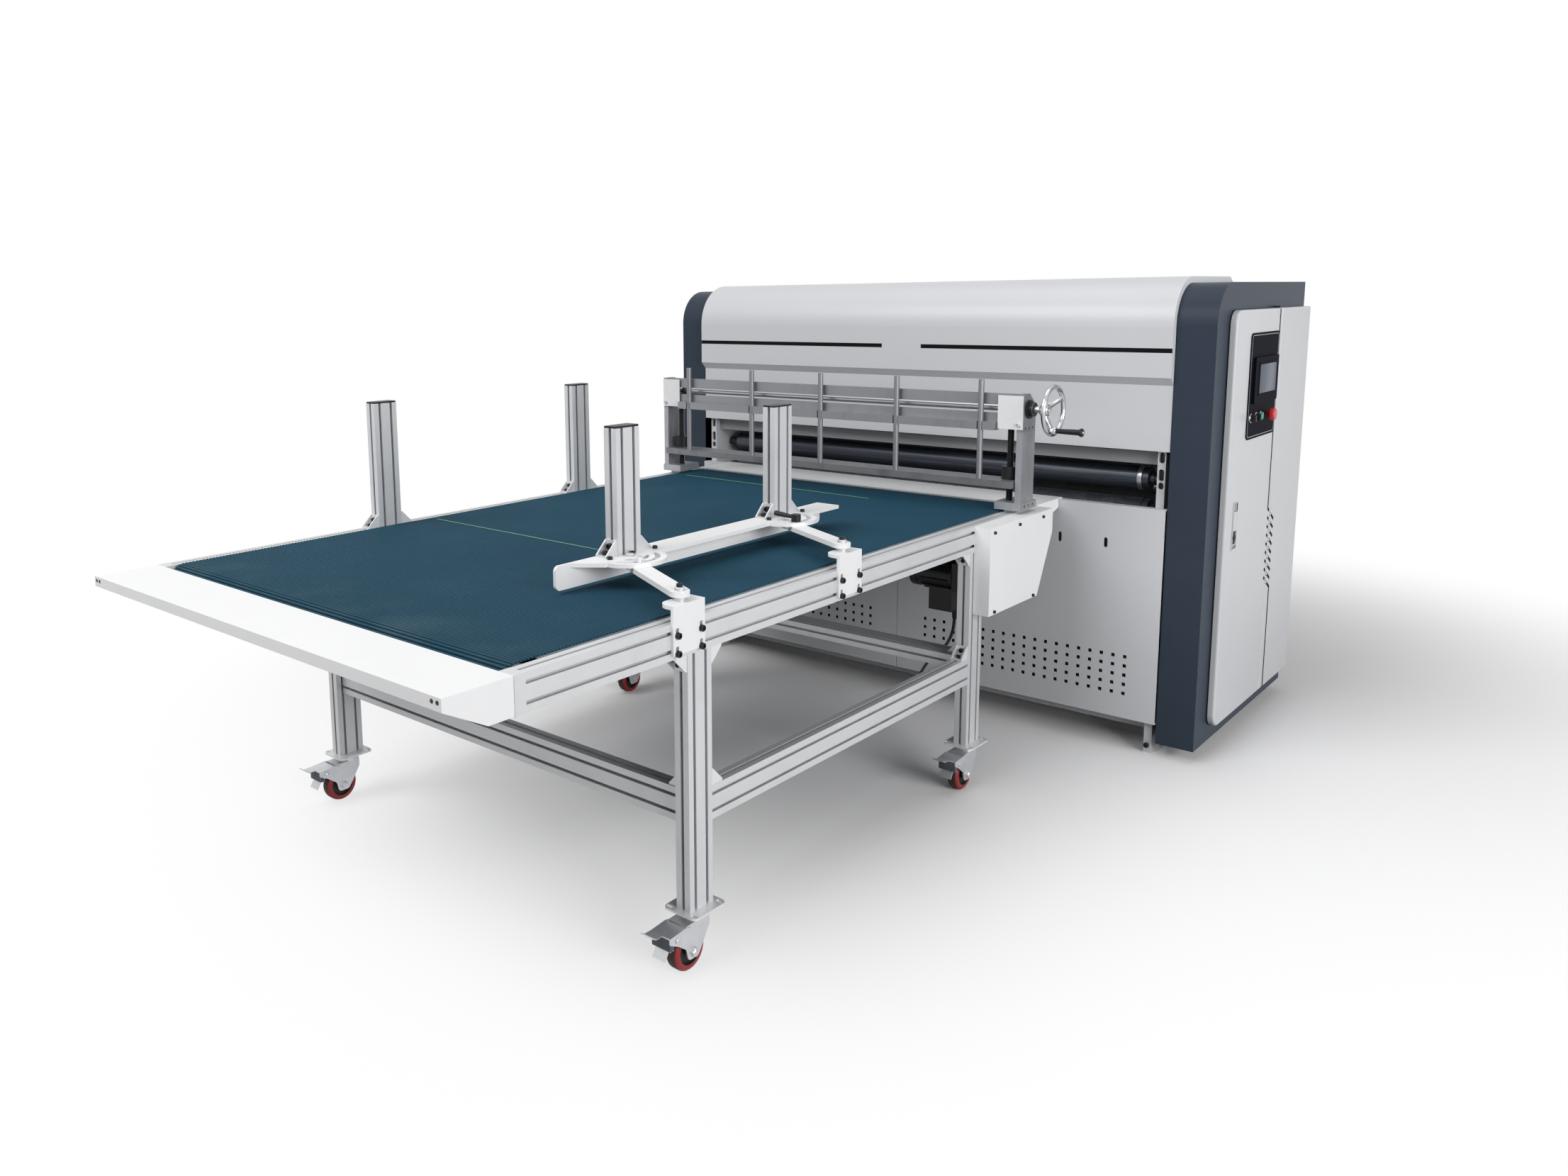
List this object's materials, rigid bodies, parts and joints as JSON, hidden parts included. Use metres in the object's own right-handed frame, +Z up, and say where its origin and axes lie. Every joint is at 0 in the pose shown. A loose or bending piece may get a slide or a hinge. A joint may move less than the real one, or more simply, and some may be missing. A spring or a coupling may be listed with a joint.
{
  "type": "die cutting machine",
  "caption": "Roller press die cutting machine with feed rollers in a covered body, fed by a wheeled belt table with a height gate and swinging side guides.",
  "frame": {"origin": "centre of the footprint's bounding box at floor level", "axes": "+Y is the feed direction from the belt table into the press, +X points to the control cabinet side, +Z is up"},
  "size_m": [2.198, 3.522, 1.536],
  "materials": {
    "white_paint": "satin powder coat",
    "slate_paint": "satin powder coat",
    "grey_paint": "satin paint",
    "profile": "natural anodised",
    "cast_fitting": "blasted casting",
    "belt": "fine ribbed",
    "cable": "matte",
    "motor": "satin black",
    "steel": "ground",
    "dark_steel": "blackened",
    "zinc": "zinc plated",
    "wheel": "polyurethane",
    "polished": "polished",
    "black_plastic": "semi gloss",
    "green_plastic": "gloss",
    "red_plastic": "gloss"
  },
  "bodies": {
    "machine": {"body_frame": "white_paint", "press_beam": "grey_paint", "press_motor": "grey_paint", "left_end_cover": "slate_paint", "right_end_cover": "slate_paint", "hood": "white_paint", "front_panels": "white_paint", "fixed_panels": "white_paint", "table_rails": "profile", "leg_frame": "profile", "frame_fittings": "cast_fitting", "front_end_cover": "white_paint", "transition_plate": "white_paint", "drive_cover": "white_paint", "conveyor_belt": "belt", "belt_bed": "steel", "belt_motor": "motor", "motor_cable": "cable", "gate_frame": "profile", "gear_covers": "white_paint", "guide_brackets": "white_paint", "left_posts": "profile"},
    "feed_upper": {"feed_roller_upper": "dark_steel"},
    "feed_lower": {"feed_roller_lower": "dark_steel"},
    "press_upper": {"press_roller_upper": "steel"},
    "press_lower": {"press_roller_lower": "steel"},
    "tail_drum": {"tail_roller": "steel"},
    "drive_drum": {"drive_roller": "steel"},
    "pulley": {"motor_pulley": "steel"},
    "door": {"cabinet_door": "white_paint", "control_panel": "black_plastic"},
    "latch": {"door_latch": "polished"},
    "selector_a": {"selector_left": "black_plastic"},
    "selector_b": {"selector_right": "black_plastic"},
    "start": {"start_button": "green_plastic"},
    "stop": {"emergency_stop": "red_plastic"},
    "wheel": {"handwheel": "polished", "cross_shaft": "steel"},
    "grip": {"crank_grip": "black_plastic"},
    "screw_left": {"lead_screw_left": "dark_steel"},
    "screw_right": {"lead_screw_right": "dark_steel"},
    "gate": {"gate_bar": "profile", "gate_nuts": "dark_steel"},
    "arm_front": {"guide_arm_front": "white_paint"},
    "arm_rear": {"guide_arm_rear": "white_paint"},
    "guide": {"guide_bar": "white_paint", "guide_posts": "profile"},
    "lever": {"clamp_lever": "black_plastic"},
    "fork_front_right": {"caster_fork_front_right": "zinc"},
    "roll_front_right": {"caster_wheel_front_right": "wheel"},
    "pedal_front_right": {"caster_pedal_front_right": "zinc"},
    "fork_front_left": {"caster_fork_front_left": "zinc"},
    "roll_front_left": {"caster_wheel_front_left": "wheel"},
    "pedal_front_left": {"caster_pedal_front_left": "zinc"},
    "fork_rear_right": {"caster_fork_rear_right": "zinc"},
    "roll_rear_right": {"caster_wheel_rear_right": "wheel"},
    "pedal_rear_right": {"caster_pedal_rear_right": "zinc"},
    "fork_rear_left": {"caster_fork_rear_left": "zinc"},
    "roll_rear_left": {"caster_wheel_rear_left": "wheel"},
    "pedal_rear_left": {"caster_pedal_rear_left": "zinc"}
  },
  "joints": [
    {"name": "press_turn", "type": "hinge", "parent": "machine", "child": "press_lower", "pos_m": [-0.0165, 1.191, 0.722], "axis": [1, 0, 0], "continuous": true},
    {"name": "press_turn_upper", "type": "hinge", "parent": "machine", "child": "press_upper", "pos_m": [-0.0165, 1.191, 0.948], "axis": [1, 0, 0], "continuous": true},
    {"name": "feed_turn_lower", "type": "hinge", "parent": "machine", "child": "feed_lower", "pos_m": [-0.0165, 0.931, 0.782], "axis": [1, 0, 0], "continuous": true},
    {"name": "feed_turn_upper", "type": "hinge", "parent": "machine", "child": "feed_upper", "pos_m": [-0.0165, 0.931, 0.888], "axis": [1, 0, 0], "continuous": true},
    {"name": "belt_drive", "type": "hinge", "parent": "machine", "child": "drive_drum", "pos_m": [-0.1315, 0.571, 0.777], "axis": [1, 0, 0], "continuous": true},
    {"name": "belt_tail", "type": "hinge", "parent": "machine", "child": "tail_drum", "pos_m": [-0.1315, -1.547, 0.777], "axis": [1, 0, 0], "continuous": true},
    {"name": "motor_turn", "type": "hinge", "parent": "machine", "child": "pulley", "pos_m": [0.5825, 0.321, 0.625], "axis": [1, 0, 0], "continuous": true},
    {"name": "door_swing", "type": "hinge", "parent": "machine", "child": "door", "pos_m": [1.0538, 1.3905, 0.76], "axis": [0, 0, 1], "range_deg": [0, 110]},
    {"name": "latch_pull", "type": "hinge", "parent": "door", "child": "latch", "pos_m": [1.0615, 1.001, 0.688], "axis": [0, 1, 0], "range_deg": [0, 35]},
    {"name": "selector_a_turn", "type": "hinge", "parent": "door", "child": "selector_a", "pos_m": [1.0693, 1.083, 1.086], "axis": [1, 0, 0], "range_deg": [-45, 45]},
    {"name": "selector_b_turn", "type": "hinge", "parent": "door", "child": "selector_b", "pos_m": [1.0693, 1.135, 1.086], "axis": [1, 0, 0], "range_deg": [-45, 45]},
    {"name": "start_push", "type": "slide", "parent": "door", "child": "start", "axis": [1, 0, 0], "range_m": [-0.004, 0], "stiffness_N_per_m": 400},
    {"name": "stop_push", "type": "slide", "parent": "door", "child": "stop", "axis": [1, 0, 0], "range_m": [-0.006, 0], "stiffness_N_per_m": 800},
    {"name": "handwheel_turn", "type": "hinge", "parent": "machine", "child": "wheel", "pos_m": [0.6815, 0.487, 1.138], "axis": [1, 0, 0], "range_deg": [-3150, 7920]},
    {"name": "grip_spin", "type": "hinge", "parent": "wheel", "child": "grip", "pos_m": [0.7315, 0.487, 1.076], "axis": [1, 0, 0], "continuous": true},
    {"name": "screw_right_turn", "type": "hinge", "parent": "machine", "child": "screw_right", "pos_m": [0.5485, 0.487, 1], "axis": [0, 0, 1], "range_deg": [-7920, 3150]},
    {"name": "screw_left_turn", "type": "hinge", "parent": "machine", "child": "screw_left", "pos_m": [-0.8115, 0.487, 1], "axis": [0, 0, 1], "range_deg": [-3150, 7920]},
    {"name": "gate_lift", "type": "slide", "parent": "machine", "child": "gate", "axis": [0, 0, 1], "range_m": [-0.04395, 0.1102]},
    {"name": "guide_swing", "type": "hinge", "parent": "machine", "child": "arm_front", "pos_m": [0.5625, -1.109, 0.87], "axis": [0, 0, 1], "range_deg": [-18, 50]},
    {"name": "guide_swing_rear", "type": "hinge", "parent": "machine", "child": "arm_rear", "pos_m": [0.5625, -0.484, 0.87], "axis": [0, 0, 1], "range_deg": [-18, 50]},
    {"name": "guide_keep", "type": "hinge", "parent": "arm_front", "child": "guide", "pos_m": [0.2835, -0.967, 0.88], "axis": [0, 0, 1], "range_deg": [-50, 18]},
    {"name": "clamp_turn", "type": "hinge", "parent": "arm_rear", "child": "lever", "pos_m": [0.34232, -0.37194, 0.89], "axis": [0, 0, 1], "range_deg": [0, 80]},
    {"name": "swivel_front_right", "type": "hinge", "parent": "machine", "child": "fork_front_right", "pos_m": [0.5625, -1.068, 0.12], "axis": [0, 0, 1], "continuous": true},
    {"name": "spin_front_right", "type": "hinge", "parent": "fork_front_right", "child": "roll_front_right", "pos_m": [0.5625, -1.104, 0.05], "axis": [1, 0, 0], "continuous": true},
    {"name": "brake_front_right", "type": "hinge", "parent": "fork_front_right", "child": "pedal_front_right", "pos_m": [0.5625, -1.162, 0.102], "axis": [1, 0, 0], "range_deg": [0, 12]},
    {"name": "swivel_front_left", "type": "hinge", "parent": "machine", "child": "fork_front_left", "pos_m": [-0.8255, -1.068, 0.12], "axis": [0, 0, 1], "continuous": true},
    {"name": "spin_front_left", "type": "hinge", "parent": "fork_front_left", "child": "roll_front_left", "pos_m": [-0.8255, -1.104, 0.05], "axis": [1, 0, 0], "continuous": true},
    {"name": "brake_front_left", "type": "hinge", "parent": "fork_front_left", "child": "pedal_front_left", "pos_m": [-0.8255, -1.162, 0.102], "axis": [1, 0, 0], "range_deg": [0, 12]},
    {"name": "swivel_rear_right", "type": "hinge", "parent": "machine", "child": "fork_rear_right", "pos_m": [0.5625, 0.214, 0.12], "axis": [0, 0, 1], "continuous": true},
    {"name": "spin_rear_right", "type": "hinge", "parent": "fork_rear_right", "child": "roll_rear_right", "pos_m": [0.5625, 0.178, 0.05], "axis": [1, 0, 0], "continuous": true},
    {"name": "brake_rear_right", "type": "hinge", "parent": "fork_rear_right", "child": "pedal_rear_right", "pos_m": [0.5625, 0.12, 0.102], "axis": [1, 0, 0], "range_deg": [0, 12]},
    {"name": "swivel_rear_left", "type": "hinge", "parent": "machine", "child": "fork_rear_left", "pos_m": [-0.8255, 0.214, 0.12], "axis": [0, 0, 1], "continuous": true},
    {"name": "spin_rear_left", "type": "hinge", "parent": "fork_rear_left", "child": "roll_rear_left", "pos_m": [-0.8255, 0.178, 0.05], "axis": [1, 0, 0], "continuous": true},
    {"name": "brake_rear_left", "type": "hinge", "parent": "fork_rear_left", "child": "pedal_rear_left", "pos_m": [-0.8255, 0.12, 0.102], "axis": [1, 0, 0], "range_deg": [0, 12]}
  ],
  "couplings": [
    {"joint": "press_turn_upper", "follows": "press_turn", "ratio": -1},
    {"joint": "feed_turn_lower", "follows": "press_turn", "ratio": 2.5},
    {"joint": "feed_turn_upper", "follows": "press_turn", "ratio": -2.5},
    {"joint": "belt_tail", "follows": "belt_drive", "ratio": 1},
    {"joint": "motor_turn", "follows": "belt_drive", "ratio": 1},
    {"joint": "screw_right_turn", "follows": "handwheel_turn", "ratio": -1},
    {"joint": "screw_left_turn", "follows": "handwheel_turn", "ratio": 1},
    {"joint": "gate_lift", "follows": "handwheel_turn", "m_per_rad": 0.00079577},
    {"joint": "guide_swing_rear", "follows": "guide_swing", "ratio": 1},
    {"joint": "guide_keep", "follows": "guide_swing", "ratio": -1}
  ]
}
